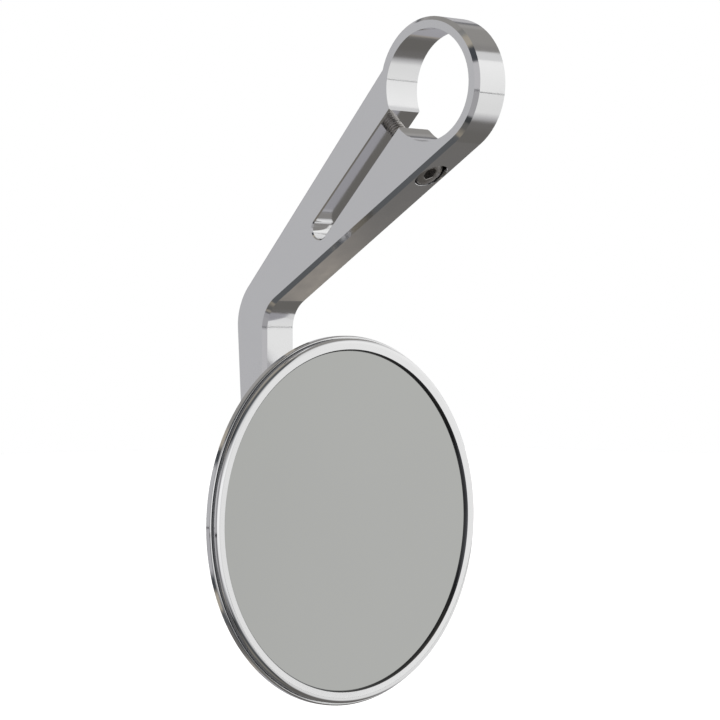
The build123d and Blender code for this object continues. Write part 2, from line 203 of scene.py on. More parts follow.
def zinc_plated_steel(look):
    """Steel, rolled thread, zinc plated: pale grey and satin, with faint cloudy patches in the plating, and
    darker and duller where the mesh's own socket_shade attribute is set: painted shade in the deep socket."""
    socket_shade_roughness = 0.45
    material, tree, shader, place = new_finish("zinc_plated_steel")
    shader["Metallic"].default_value = 1.0
    cloud = add_node(tree, "ShaderNodeTexNoise", values={
        "Vector": place, "Scale": per_metre(1.2), "Detail": 4.0}).outputs[0]
    deeper, paler = ([part * share for part in look.zinc[:3]] + [1.0] for share in (0.9, 1.1))
    plating = add_node(tree, "ShaderNodeMix", {"data_type": "RGBA"}, {
        SHARE: cloud, COLOUR_A: deeper, COLOUR_B: paler})
    # Painted shade: where the socket_shade attribute is set, the plating turns darker and duller
    socket_shade = add_node(tree, "ShaderNodeAttribute", {"attribute_name": SOCKET_SHADE}).outputs["Fac"]
    tone = add_node(tree, "ShaderNodeMix", {"data_type": "RGBA"}, {
        SHARE: socket_shade, COLOUR_A: plating.outputs[MIXED_COLOUR], COLOUR_B: look.socket_shade})
    tree.links.new(tone.outputs[MIXED_COLOUR], shader["Base Color"])
    gloss = add_node(tree, "ShaderNodeMapRange", values={
        "Value": cloud, "From Min": 0.3, "From Max": 0.7, "To Min": 0.26, "To Max": 0.36})
    dulled = add_node(tree, "ShaderNodeMix", values={
        SHARE: socket_shade, NUMBER_A: gloss.outputs[0], NUMBER_B: socket_shade_roughness})
    tree.links.new(dulled.outputs[0], shader["Roughness"])
    return material


def turned_stainless_steel(look):
    """Stainless steel, turned: satin grey, with the rings of the tool round the head's axis, drawn wider
    than the tool's own, so that they show."""
    material, tree, shader, place = new_finish("turned_stainless_steel")
    shader["Base Color"].default_value = look.stainless
    shader["Metallic"].default_value = 1.0
    centred = add_node(tree, "ShaderNodeMapping", values={"Vector": place, "Location": HEAD_TO_ORIGIN})
    rings = add_node(tree, "ShaderNodeTexWave", {"wave_type": "RINGS", "rings_direction": "Y"}, {
        "Vector": centred.outputs[0], "Scale": RING_WIDTH * per_metre(1.257), "Distortion": 0.8,
        "Detail": 2.0})
    haze = add_node(tree, "ShaderNodeTexNoise", values={
        "Vector": place, "Scale": per_metre(2), "Detail": 3.0})
    gloss = add_node(tree, "ShaderNodeMapRange", values={
        "Value": haze.outputs[0], "From Min": 0.3, "From Max": 0.7, "To Min": 0.18, "To Max": 0.3})
    tree.links.new(gloss.outputs[0], shader["Roughness"])
    relief = add_node(tree, "ShaderNodeBump", values={
        "Height": rings.outputs["Fac"], "Strength": 0.5, "Distance": 0.002 * MM})
    tree.links.new(relief.outputs[0], shader["Normal"])
    return material


def moulded_acetal(look):
    """Acetal, moulded, black: waxy and even, with the soft grain of the mould."""
    material, tree, shader, place = new_finish("moulded_acetal")
    shader["Base Color"].default_value = look.acetal
    shader["IOR"].default_value = 1.48
    grain = add_node(tree, "ShaderNodeTexNoise", values={
        "Vector": place, "Scale": per_metre(0.3), "Detail": 2.0}).outputs[0]
    gloss = add_node(tree, "ShaderNodeMapRange", values={
        "Value": grain, "From Min": 0.3, "From Max": 0.7, "To Min": 0.36, "To Max": 0.5})
    tree.links.new(gloss.outputs[0], shader["Roughness"])
    relief = add_node(tree, "ShaderNodeBump", values={
        "Height": grain, "Strength": 0.4, "Distance": 0.004 * MM})
    tree.links.new(relief.outputs[0], shader["Normal"])
    return material


def bonding_foam(look):
    """Closed-cell foam tape: matt black with small round cells."""
    material, tree, shader, place = new_finish("bonding_foam")
    shader["Base Color"].default_value = look.foam
    shader["Roughness"].default_value = 0.9
    cells = add_node(tree, "ShaderNodeTexVoronoi", values={"Vector": place, "Scale": per_metre(0.25)})
    relief = add_node(tree, "ShaderNodeBump", values={
        "Height": cells.outputs["Distance"], "Strength": 0.7, "Distance": 0.05 * MM})
    tree.links.new(relief.outputs[0], shader["Normal"])
    return material


def moulded_seal_rubber(look):
    """Nitrile rubber, moulded: dark grey and dull, with the fine grain of the mould."""
    material, tree, shader, place = new_finish("moulded_seal_rubber")
    shader["Base Color"].default_value = look.seal_rubber
    grain = add_node(tree, "ShaderNodeTexNoise", values={
        "Vector": place, "Scale": per_metre(0.15), "Detail": 2.0}).outputs[0]
    gloss = add_node(tree, "ShaderNodeMapRange", values={
        "Value": grain, "From Min": 0.3, "From Max": 0.7, "To Min": 0.5, "To Max": 0.65})
    tree.links.new(gloss.outputs[0], shader["Roughness"])
    relief = add_node(tree, "ShaderNodeBump", values={
        "Height": grain, "Strength": 0.3, "Distance": 0.005 * MM})
    tree.links.new(relief.outputs[0], shader["Normal"])
    return material


def coat(material, *nodes):
    """Gives CAD nodes this finish by their material slots."""
    for name in nodes:
        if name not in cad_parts:
            raise RuntimeError(f"the packed part has no node {name}")
        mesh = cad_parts[name].data
        mesh.materials.clear()
        mesh.materials.append(material)


def closed_turning(radius, station):
    """Closed surface round an axis: point (i, j) of the grid lies at radius[i, j] from the axis, at angle
    2 pi j / columns, and at station[i] along it. Fans from two points on the axis close both ends.

    Returns the points as (across, across, along) and the faces, all from whole index arrays.
    """
    rows, columns = radius.shape
    angle = 2 * pi * np.arange(columns) / columns
    along = np.broadcast_to(station[:, None], radius.shape)
    ring = np.stack([radius * np.cos(angle), radius * np.sin(angle), along], axis=-1).reshape(-1, 3)
    ends = np.array([[0, 0, station[0]], [0, 0, station[-1]]])
    i, j = np.meshgrid(np.arange(rows - 1), np.arange(columns), indexing="ij")
    k = (j + 1) % columns
    quads = np.stack([
        i * columns + j, i * columns + k, (i + 1) * columns + k, (i + 1) * columns + j], axis=-1)
    around = np.arange(columns)
    after = (around + 1) % columns
    first, last = rows * columns, rows * columns + 1
    start_fan = np.stack([np.full(columns, first), after, around], axis=-1)
    top = (rows - 1) * columns
    end_fan = np.stack([np.full(columns, last), top + around, top + after], axis=-1)
    faces = quads.reshape(-1, 4).tolist() + start_fan.tolist() + end_fan.tolist()
    return np.concatenate([ring, ends]), faces


def facing(angle):
    """Direction in a profile's (radius, depth): 0 faces the front and 90 degrees faces outwards."""
    return np.stack([np.sin(angle), -np.cos(angle)], axis=-1)


def rounded_edge(point, radius, start, end, at_end=False, count=16):
    """Part of a profile: an arc of this radius through the point, its direction turning from start to end.

    Each point is the centre plus radius times its direction. The given point is the arc's first, or its last
    where at_end is set.
    """
    centre = point - radius * facing(end if at_end else start)
    return centre + radius * facing(np.linspace(start, end, count))


def turned_ring(profile, front, columns=512):
    """Closed ring round the head's axis: point (i, j) lies at the radius of the profile's point i, at angle
    2 pi j / columns, and at that point's depth behind the front. Both ways round the grid closes on itself.
    """
    rows = len(profile)
    angle = 2 * pi * np.arange(columns) / columns
    radius, depth = profile[:, :1], profile[:, 1:]
    x, _, z = HEAD_AXIS
    points = np.stack([
        x + radius * np.cos(angle), np.broadcast_to(front + depth, (rows, columns)),
        z + radius * np.sin(angle)], axis=-1)
    i, j = np.meshgrid(np.arange(rows), np.arange(columns), indexing="ij")
    k, m = (i + 1) % rows, (j + 1) % columns
    faces = np.stack([i * columns + j, k * columns + j, k * columns + m, i * columns + m], axis=-1)
    return points.reshape(-1, 3), faces.reshape(-1, 4).tolist()


def bezel_profile(rim, spigot_end):
    """Section of the bezel: its round, its rear edge, the spigot, the room for the glass, the lip and the
    flat front, which ends where the round starts."""
    draft, flat_hold = 0.1 * MM, 0.02 * MM
    flat_end = rim.opening + rim.flat_width
    front = rounded_edge((flat_end, 0), rim.round_radius, 0, rim.round_end, count=32)
    rear_radius = (rim.bezel_back - front[-1, 1]) / (1 + cos(rim.round_end))
    rear = rounded_edge(front[-1], rear_radius, rim.round_end, pi)
    foot = rim.opening - rim.lip_bevel
    inside = np.array([
        (rim.spigot, rim.bezel_back), (rim.spigot, spigot_end), (rim.cavity, spigot_end),
        (rim.cavity, rim.recess), (foot - draft, rim.recess), (foot, rim.lip_bevel), (rim.opening, 0),
        (flat_end - flat_hold, 0)])
    return np.concatenate([front, rear[1:], inside])


def band_profile(rim):
    """Section of the housing's rim band: a round inner edge, a crowned front, a small outer edge and the
    outer cylinder, closed inside the housing."""
    hold, rear_inset, thickness, inner_hold = 0.02 * MM, 0.06 * MM, 0.6 * MM, 0.03 * MM
    start, end = rim.crown_start, rim.crown_end
    shoulder = np.array([rim.band_radius - rim.band_round * (1 - sin(end)), rim.band_shoulder])
    crown = rounded_edge(shoulder, rim.crown_radius, start, end, at_end=True)
    outer = rounded_edge(shoulder, rim.band_round, end, pi / 2)
    inner = rounded_edge(crown[0], rim.inner_round, 0, start, at_end=True)
    foot, front = inner[0] - (hold, 0)
    inside = np.array([
        (rim.band_radius, outer[-1, 1] + hold), (rim.band_radius, rim.band_back),
        (rim.band_radius - rear_inset, rim.band_back + hold), (foot, front + thickness),
        (foot, front + inner_hold)])
    return np.concatenate([inner, crown[1:], outer[1:], inside])


def screw_head(size, angle):
    """Rows of the screw's head from the socket to the seat, as radii at every angle and as stations.

    In the socket the radius is the hexagon's: flats / 2 over the cosine of the angle from the nearest flat.
    On the head's side every other angle is cut in for the knurl.
    """
    drill_share, floor_share = 0.5, 0.96
    drill_point, floor_round, mouth_hold = 0.25 * MM, 0.06 * MM, 0.03 * MM
    top_hold, top_lead, side_lead = 0.04 * MM, 0.03 * MM, 0.05 * MM
    knurl_lead, knurl_foot, seat_break = 0.12 * MM, 0.35 * MM, 0.15 * MM
    to_flat = (angle + pi / 6) % (pi / 3) - pi / 6
    hexagon = size.socket_flats / 2 / np.cos(to_flat)
    head, top = size.head_diameter / 2, size.head_height
    whole = np.ones(len(angle))
    knurled = np.where(np.arange(len(angle)) % 2, head, head - size.knurl_depth)
    floor = top - size.socket_depth
    top_edge, side_edge = head - size.head_chamfer, top - size.head_chamfer
    radii, stations = zip(
        (hexagon * drill_share, floor - drill_point),
        (hexagon * floor_share, floor),
        (hexagon, floor + floor_round),
        (hexagon, top - size.socket_mouth),
        (hexagon + size.socket_mouth, top),
        (hexagon + size.socket_mouth + mouth_hold, top),
        (whole * (top_edge - top_hold), top),
        (whole * (top_edge + top_lead), top - top_hold),
        (whole * (head - side_lead), side_edge + side_lead),
        (knurled, side_edge - knurl_lead),
        (knurled, knurl_foot),
        (whole * (head - side_lead), knurl_lead),
        (whole * (head - seat_break), 0.0),
    )
    return np.stack(radii), np.array(stations)


def screw_shank(size, angle):
    """Rows of the screw's shank from the seat to the tip, as radii at every angle and as stations.

    The radius is the root plus the thread's depth times a rounded wave of the phase
    z / pitch - angle / 2 pi, faded out at both ends.
    """
    depth_per_pitch, rows_per_pitch, flank_fullness = 0.6134, 16, 0.8
    run_out, tip_chamfer, tip_inset = 0.5 * MM, 0.3 * MM, 0.25 * MM
    pitch = size.thread_pitch
    depth = depth_per_pitch * pitch
    root = size.thread_diameter / 2 - depth
    along = np.arange(0, size.length - tip_chamfer, pitch / rows_per_pitch)
    phase = (along[:, None] / pitch - angle / (2 * pi)) % 1
    flank = (0.5 - 0.5 * np.cos(2 * pi * phase)) ** flank_fullness
    start = np.clip((along - run_out) / pitch, 0, 1)
    finish = np.clip((size.length - run_out - along) / pitch, 0, 1)
    thread = root + depth * flank * (start * finish)[:, None]
    tip = np.full((1, len(angle)), root - tip_inset)
    return np.concatenate([thread, tip]), -np.append(along, size.length)


def threaded_screw(size, columns=96):
    """Socket-head screw as one closed turning, from the socket's floor over the head to the shank's tip.

    Stations run along the axis from the head's seat, positive out of the counterbore. The painted shade of
    the socket lies in its rows, up to the rim of its mouth, and at its middle.
    """
    shaded_socket_rows = 5
    angle = 2 * pi * np.arange(columns) / columns
    radii, stations = zip(screw_head(size, angle), screw_shank(size, angle))
    radius = np.concatenate(radii)
    points, faces = closed_turning(radius, np.concatenate(stations))
    order = np.arange(len(points))
    socket_middle = radius.size
    socket_shade = ((order < shaded_socket_rows * columns) | (order == socket_middle)).astype(float)
    return points, faces, socket_shade


class MirrorFinishes(bpy.types.PropertyGroup):
    """Colours and gloss of the mirror's materials."""
    aluminium: bpy.props.FloatVectorProperty(
        name="Aluminium", description="Reflected colour of the polished aluminium", subtype="COLOR", size=4,
        min=0, max=1, default=linear("#F0F0F1"))
    polish_roughness: bpy.props.FloatProperty(
        name="Plate polish", description="Roughness of the polished arm", subtype="FACTOR", min=0, max=1,
        default=0.1)
    turned_roughness: bpy.props.FloatProperty(
        name="Turned polish", description="Roughness of the polished head", subtype="FACTOR", min=0, max=1,
        default=0.06)
    # Painted shade: the dark colour of the bezel's lip round the glass, for the shade of its recess
    painted_lip_shade: bpy.props.FloatVectorProperty(
        name="Painted lip shade", description="Reflected colour of the bezel's lip round the glass",
        subtype="COLOR", size=4, min=0, max=1, default=linear("#6A6B6E"))
    mirror_film: bpy.props.FloatVectorProperty(
        name="Mirror film", description="Reflected colour of the chromed glass", subtype="COLOR", size=4,
        min=0, max=1, default=linear("#B7B8B6"))
    zinc: bpy.props.FloatVectorProperty(
        name="Zinc", description="Reflected colour of the plated clamp screw", subtype="COLOR", size=4,
        min=0, max=1, default=linear("#C4C1BE"))
    # Painted shade: the colour that darkens the clamp screw's deep socket
    socket_shade: bpy.props.FloatVectorProperty(
        name="Socket shade", description="Colour of the painted shade in the clamp screw's socket", subtype="COLOR", size=4,
        min=0, max=1, default=linear("#B0ADAA"))
    stainless: bpy.props.FloatVectorProperty(
        name="Stainless steel", description="Colour of the ball stud, washer, spring and collar screws",
        subtype="COLOR", size=4, min=0, max=1, default=linear("#CBC9C5"))
    acetal: bpy.props.FloatVectorProperty(
        name="Acetal", description="Colour of the ball joint's bearings", subtype="COLOR", size=4,
        min=0, max=1, default=linear("#1B1C1E"))
    foam: bpy.props.FloatVectorProperty(
        name="Foam", description="Colour of the bonding foam behind the glass", subtype="COLOR", size=4,
        min=0, max=1, default=linear("#1E1E1E"))
    seal_rubber: bpy.props.FloatVectorProperty(
        name="Seal rubber", description="Colour of the seal between bezel and housing", subtype="COLOR",
        size=4, min=0, max=1, default=linear("#56575A"))


class MirrorClampScrew(bpy.types.PropertyGroup):
    """Sizes and place of the clamp screw."""
    thread_diameter: bpy.props.FloatProperty(
        name="Thread", description="Diameter over the thread's crests", unit="LENGTH", default=3.96 * MM)
    thread_pitch: bpy.props.FloatProperty(
        name="Pitch", description="Distance from crest to crest", unit="LENGTH", default=0.7 * MM)
    length: bpy.props.FloatProperty(
        name="Length", description="Shank length under the head", unit="LENGTH", default=16 * MM)
    head_diameter: bpy.props.FloatProperty(
        name="Head diameter", description="Diameter of the knurled head", unit="LENGTH", default=7 * MM)
    head_height: bpy.props.FloatProperty(
        name="Head height", description="Height of the head", unit="LENGTH", default=4 * MM)
    head_chamfer: bpy.props.FloatProperty(
        name="Head edge", description="Edge break round the head's top", unit="LENGTH", default=0.3 * MM)
    knurl_depth: bpy.props.FloatProperty(
        name="Knurl", description="Depth of the knurl on the head's side", unit="LENGTH", default=0.07 * MM)
    socket_flats: bpy.props.FloatProperty(
        name="Socket", description="Hexagon socket across its flats", unit="LENGTH", default=3 * MM)
    socket_depth: bpy.props.FloatProperty(
        name="Socket depth", description="Depth of the hexagon socket", unit="LENGTH", default=2.2 * MM)
    socket_mouth: bpy.props.FloatProperty(
        name="Socket mouth", description="Chamfer round the socket's mouth", unit="LENGTH",
        default=0.12 * MM)
    slot_angle: bpy.props.FloatProperty(
        name="Slot angle", description="Fall of the clamping slot below the horizontal", unit="ROTATION",
        default=radians(45))
    along_slot: bpy.props.FloatProperty(
        name="Along slot", description="Distance of the screw from the bore's centre, along the slot",
        unit="LENGTH", default=16.5 * MM)
    seat_below: bpy.props.FloatProperty(
        name="Seat", description="Distance of the head's seat below the bore's centre, across the slot",
        unit="LENGTH", default=7.158 * MM)


class MirrorRim(bpy.types.PropertyGroup):
    """Sizes of the head's turned rim; depths are behind the bezel's front."""
    opening: bpy.props.FloatProperty(
        name="Opening", description="Radius of the bezel's opening", unit="LENGTH", default=39.75 * MM)
    flat_width: bpy.props.FloatProperty(
        name="Flat", description="Width of the bezel's flat front", unit="LENGTH", default=1.3 * MM)
    round_radius: bpy.props.FloatProperty(
        name="Round", description="Radius of the bezel's outer round", unit="LENGTH", default=1.777 * MM)
    round_end: bpy.props.FloatProperty(
        name="Round's end", description="Angle from the front at which the round meets the rear edge",
        unit="ROTATION", default=radians(40))
    bezel_back: bpy.props.FloatProperty(
        name="Bezel's back", description="Depth of the bezel's back face", unit="LENGTH", default=0.85 * MM)
    lip_bevel: bpy.props.FloatProperty(
        name="Lip", description="Bevel of the black lip round the glass", unit="LENGTH", default=0.3 * MM)
    recess: bpy.props.FloatProperty(
        name="Recess", description="Depth of the glass", unit="LENGTH", default=0.75 * MM)
    spigot: bpy.props.FloatProperty(
        name="Spigot", description="Radius of the spigot in the housing", unit="LENGTH", default=42.0 * MM)
    cavity: bpy.props.FloatProperty(
        name="Cavity", description="Radius of the room for the glass", unit="LENGTH", default=40.45 * MM)
    band_radius: bpy.props.FloatProperty(
        name="Band", description="Radius of the band round the housing", unit="LENGTH", default=42.905 * MM)
    band_shoulder: bpy.props.FloatProperty(
        name="Band's shoulder", description="Depth at which the band's crown ends", unit="LENGTH",
        default=1.52 * MM)
    band_back: bpy.props.FloatProperty(
        name="Band's back", description="Depth of the band's rear edge", unit="LENGTH", default=2.62 * MM)
    band_round: bpy.props.FloatProperty(
        name="Band's edge", description="Radius of the band's outer edge", unit="LENGTH", default=0.09 * MM)
    inner_round: bpy.props.FloatProperty(
        name="Band's inner edge", description="Radius of the band's inner edge", unit="LENGTH",
        default=0.42 * MM)
    crown_radius: bpy.props.FloatProperty(
        name="Crown", description="Radius of the band's crowned front", unit="LENGTH", default=1.6 * MM)
    crown_start: bpy.props.FloatProperty(
        name="Crown's start", description="Angle from the front at which the crown starts", unit="ROTATION",
        default=radians(24))
    crown_end: bpy.props.FloatProperty(
        name="Crown's end", description="Angle from the front at which the crown ends", unit="ROTATION",
        default=radians(33))


class MirrorStage(bpy.types.PropertyGroup):
    """Floor, light tent and camera."""
    floor_height: bpy.props.FloatProperty(
        name="Floor", description="Height of the floor", unit="LENGTH", default=-0.42)
    floor_width: bpy.props.FloatProperty(
        name="Floor width", description="Width of the floor", unit="LENGTH", default=16.0)
    floor_colour: bpy.props.FloatVectorProperty(
        name="Floor colour", description="Colour of the floor", subtype="COLOR", size=4, min=0, max=1,
        default=linear("#F6F6F6"))
    backdrop: bpy.props.FloatVectorProperty(
        name="Backdrop", description="Colour behind the object", subtype="COLOR", size=4, min=0, max=1,
        default=linear("#FFFFFF"))
    key_power: bpy.props.FloatProperty(
        name="Key light", description="Strength of the soft light from above", default=3.4)
    key_spread: bpy.props.FloatProperty(
        name="Key spread", description="Width of the soft light from above", unit="ROTATION",
        default=radians(70))
    camera_place: bpy.props.FloatVectorProperty(
        name="Camera", description="Where the camera stands", subtype="TRANSLATION", size=3,
        default=(-0.459861, -0.43373, -0.061533))
    camera_heading: bpy.props.FloatProperty(
        name="Heading", description="Direction of the level camera, from +Y towards -X", unit="ROTATION",
        default=radians(-45))
    camera_lens: bpy.props.FloatProperty(
        name="Lens", description="Focal length on a 36 mm sensor", unit="CAMERA", default=140.57)


def keep_inside(name, points, box):
    """Raises an error where a piece's points leave a box."""
    low, high = (np.array(corner) for corner in box)
    if (points.min(0) < low - BOX_SLACK).any() or (points.max(0) > high + BOX_SLACK).any():
        raise RuntimeError(f"{name} leaves its box")


def add_piece(name, points, faces, material, body, sharp=radians(30)):
    """New piece from whole arrays, smooth but for its sharp edges, riding on a body; it has to stay inside
    the CAD part's box."""
    keep_inside(name, points, cad_box)
    mesh = bpy.data.meshes.new(name)
    mesh.from_pydata(points.tolist(), [], faces)
    mesh.polygons.foreach_set("use_smooth", np.ones(len(faces), bool))
    mesh.set_sharp_from_angle(angle=sharp)
    mesh.materials.append(material)
    piece = bpy.data.objects.new(name, mesh)
    bpy.context.scene.collection.objects.link(piece)
    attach(piece, body)
    return piece


class MIRROR_OT_polish_arm(bpy.types.Operator):
    """Polishes the clamp arm"""
    bl_idname = "mirror.polish_arm"
    bl_label = "Polish arm"

    def execute(self, context):
        coat(polished_plate_aluminium(context.scene.mirror_finishes), "arm")
        return {"FINISHED"}


class MIRROR_OT_polish_head(bpy.types.Operator):
    """Polishes the turned pieces of the mirror head and gives its seal the look of rubber"""
    bl_idname = "mirror.polish_head"
    bl_label = "Polish head"

    def execute(self, context):
        look = context.scene.mirror_finishes
        coat(turned_polished_aluminium(look), "mirror_housing", "socket_collar")
        coat(moulded_seal_rubber(look), "rim_seal")
        return {"FINISHED"}


class MIRROR_OT_turn_rim(bpy.types.Operator):
    """Turns the bezel and the band round the housing's front"""
    bl_idname = "mirror.turn_rim"
    bl_label = "Turn rim"

    def execute(self, context):
        rim, look = context.scene.mirror_rim, context.scene.mirror_finishes
        low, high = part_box("bezel_ring")
        # The bezel's lip round the glass gets a painted shade for the shade of its recess
        bezel = add_piece(
            "turned_bezel", *turned_ring(bezel_profile(rim, high[1] - low[1]), low[1]),
            turned_polished_aluminium(look, "turned_aluminium_shaded_lip", rim.opening), "mirror_head")
        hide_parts("bezel_ring")
        band = add_piece(
            "turned_rim_band", *turned_ring(band_profile(rim), low[1]),
            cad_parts["mirror_housing"].data.materials[0], "mirror_head")
        return {"FINISHED"}


class MIRROR_OT_silver_glass(bpy.types.Operator):
    """Gives the glass its mirror film and the pad behind it its foam"""
    bl_idname = "mirror.silver_glass"
    bl_label = "Silver glass"

    def execute(self, context):
        look = context.scene.mirror_finishes
        coat(chromed_mirror_glass(look), "mirror_glass")
        coat(bonding_foam(look), "glass_pad")
        return {"FINISHED"}


class MIRROR_OT_finish_ball_joint(bpy.types.Operator):
    """Gives the ball joint's steel and plastic pieces their finishes"""
    bl_idname = "mirror.finish_ball_joint"
    bl_label = "Finish ball joint"

    def execute(self, context):
        look = context.scene.mirror_finishes
        steel = turned_stainless_steel(look)
        coat(steel, "ball_stud", "stud_washer", "pressure_spring", "collar_screws")
        coat(moulded_acetal(look), "rear_ball_liner", "front_ball_cup")
        return {"FINISHED"}


class MIRROR_OT_fit_clamp_screw(bpy.types.Operator):
    """Fits a threaded socket-head screw in the clamp's counterbore"""
    bl_idname = "mirror.fit_clamp_screw"
    bl_label = "Fit clamp screw"

    def execute(self, context):
        size, look = context.scene.mirror_clamp_screw, context.scene.mirror_finishes
        local, faces, socket_shade = threaded_screw(size)
        down, across = sin(size.slot_angle), cos(size.slot_angle)
        slot_line = np.array([0, across, -down])
        outward = np.array([0, -down, -across])
        side = np.array([1.0, 0, 0])
        seat = slot_line * size.along_slot + outward * size.seat_below
        points = seat + local @ np.stack([side, np.cross(outward, side), outward])
        keep_inside("threaded_clamp_screw", points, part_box("clamp_screw"))
        screw = add_piece(
            "threaded_clamp_screw", points, faces, zinc_plated_steel(look), "mount_arm", sharp=radians(40))
        # Marks the socket's rows and its middle for the painted shade
        screw.data.attributes.new(SOCKET_SHADE, "FLOAT", "POINT").data.foreach_set("value", socket_shade)
        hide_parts("clamp_screw")
        return {"FINISHED"}


# One wall of the light tent: its heading in degrees from +X towards +Y, its distance, the shade by the
# corner where it joins the walls before it, a dark seam, the tone at its foot, and its edges upwards, each
# as (height, blur, tone above). Heights are in distances to the wall.
Wall = namedtuple("Wall", "heading distance shade seam lowest edges")
# Depth of a corner's shade, the wall's lead at its middle, and its reach
Shade = namedtuple("Shade", "depth lead reach")
# Height of a seam's middle, and half its width
Seam = namedtuple("Seam", "height half_width")

FLOOR_WARM, FLOOR_COOL, CEILING = "#6E6C6A", "#5A5C5E", "#92908D"
GAP, CORNICE, SEAM_TONE = "#46494D", "#ABA498", "#3C3C40"
# Half the range of lead in which one wall's colour passes into the next
CORNER_BLUR = 0.03

WALLS = (
    Wall(-27, 1.0, None, Seam(-0.143, 0.007), "#686663", (
        (-0.95, 0.06, FLOOR_WARM), (-0.735, 0.04, "#B5B4B5"), (-0.625, 0.06, "#E5E5E4"),
        (-0.3, 0.14, "#E9E9E8"), (-0.143, 0.01, "#F0F0EF"), (0.2, 0.25, "#F7F7F6"),
        (0.535, 0.012, "#D8D8D8"), (0.725, 0.012, "#8A8886"), (0.87, 0.05, CEILING))),
    Wall(-88, 1.0, Shade(0.19, 0.0, 0.24), None, FLOOR_COOL, (
        (-1.5, 0.2, "#7A7770"), (-0.88, 0.1, "#505254"), (-0.38, 0.12, "#EEEEEE"), (-0.12, 0.08, "#FCFCFC"),
        (0.28, 0.15, "#56595C"), (0.95, 0.25, "#A39D92"), (1.9, 0.3, CEILING))),
    Wall(-135, 0.85, Shade(0.5, 0.2, 0.2), Seam(-0.096, 0.01), FLOOR_COOL, (
        (-2.1, 0.06, "#918A7E"), (-1.5, 0.28, "#636260"), (-0.93, 0.04, "#3E4041"), (-0.69, 0.03, "#A4A3A5"),
        (-0.096, 0.01, "#BFBEC0"), (0.465, 0.03, GAP), (0.98, 0.1, CORNICE), (1.85, 0.2, "#90908E"),
        (2.85, 0.1, CEILING))),
    Wall(153, 1.0, None, Seam(-0.062, 0.006), FLOOR_COOL, (
        (-0.9, 0.04, CORNICE), (-0.64, 0.04, GAP), (-0.46, 0.04, "#B2B1B4"), (-0.062, 0.01, "#BABABC"),
        (0.46, 0.04, GAP), (0.64, 0.04, CORNICE), (0.9, 0.04, CEILING))),
    Wall(63, 1.0, None, None, FLOOR_WARM, (
        (-0.98, 0.04, "#9B958E"), (-0.86, 0.04, "#A3A2A6"), (0.3, 0.2, "#BBBABC"), (0.64, 0.04, "#66676A"),
        (0.79, 0.07, "#9E9C9A"), (1.08, 0.05, CEILING))),
)
# A warm card's bounce under the back wall: heading and height in degrees, its reach and its tone
BOUNCE = (24.1, -40.4, 1.9, "#A59E95")


def tent_wall(tree, wall, toward, z):
    """Colour of one wall in every direction, and its nearness, which is (direction . heading) / distance.

    A direction meets the wall at the height of its own z divided by that nearness. A colour ramp over the
    slope of that height gives the wall's tones, and a seam darkens them.
    """
    heading = radians(wall.heading)
    normal = (cos(heading) / wall.distance, sin(heading) / wall.distance, 0)
    near = add_node(tree, "ShaderNodeVectorMath", {"operation": "DOT_PRODUCT"}, {
        0: toward, 1: normal}).outputs["Value"]
    height = add_node(tree, "ShaderNodeMath", {"operation": "DIVIDE"}, {0: z, 1: near}).outputs[0]
    slope = add_node(tree, "ShaderNodeMath", {"operation": "ARCTANGENT"}, {0: height})
    share = add_node(tree, "ShaderNodeMapRange", values={
        "Value": slope.outputs[0], "From Min": -pi / 2, "From Max": pi / 2})
    ramp = add_node(tree, "ShaderNodeValToRGB", values={0: share.outputs[0]})
    stops, below = [], wall.lowest
    for level, blur, above in wall.edges:
        stops += [(level - blur, below), (level + blur, above)]
        below = above
    elements = ramp.color_ramp.elements
    while len(elements) < len(stops):
        elements.new(1.0)
    for element, (level, tone) in zip(elements, stops):
        element.position = 0.5 + atan(level) / pi
        element.color = linear(tone)
    if wall.seam is None:
        return ramp.outputs[0], near
    above = add_node(tree, "ShaderNodeMath", {"operation": "SUBTRACT"}, {0: height, 1: wall.seam.height})
    apart = add_node(tree, "ShaderNodeMath", {"operation": "ABSOLUTE"}, {0: above.outputs[0]})
    inside = add_node(tree, "ShaderNodeMath", {"operation": "LESS_THAN"}, {
        0: apart.outputs[0], 1: wall.seam.half_width})
    seamed = add_node(tree, "ShaderNodeMix", {"data_type": "RGBA"}, {
        SHARE: inside.outputs[0], COLOUR_A: ramp.outputs[0], COLOUR_B: linear(SEAM_TONE)})
    return seamed.outputs[MIXED_COLOUR], near


def join_wall(tree, tent, nearest, colour, near, shade):
    """Adds one more wall to the tent: each direction takes the colour of the wall that it meets first.

    The lead is how much nearer the new wall is than the others, and a shade darkens the tent round one lead.
    """
    lead = add_node(tree, "ShaderNodeMath", {"operation": "SUBTRACT"}, {0: near, 1: nearest}).outputs[0]
    corner = add_node(tree, "ShaderNodeMapRange", {"interpolation_type": "SMOOTHSTEP"}, {
        "Value": lead, "From Min": -CORNER_BLUR, "From Max": CORNER_BLUR})
    tent = add_node(tree, "ShaderNodeMix", {"data_type": "RGBA"}, {
        SHARE: corner.outputs[0], COLOUR_A: tent, COLOUR_B: colour}).outputs[MIXED_COLOUR]
    nearest = add_node(tree, "ShaderNodeMath", {"operation": "MAXIMUM"}, {0: near, 1: nearest}).outputs[0]
    if shade is None:
        return tent, nearest
    past = add_node(tree, "ShaderNodeMath", {"operation": "SUBTRACT"}, {0: lead, 1: shade.lead})
    apart = add_node(tree, "ShaderNodeMath", {"operation": "ABSOLUTE"}, {0: past.outputs[0]})
    light = add_node(tree, "ShaderNodeMapRange", {"interpolation_type": "SMOOTHSTEP"}, {
        "Value": apart.outputs[0], "From Min": 0.0, "From Max": shade.reach, "To Min": 1 - shade.depth,
        "To Max": 1.0})
    shaded = add_node(tree, "ShaderNodeMix", {"data_type": "RGBA", "blend_type": "MULTIPLY"}, {
        SHARE: 1.0, COLOUR_A: tent, COLOUR_B: light.outputs[0]})
    return shaded.outputs[MIXED_COLOUR], nearest


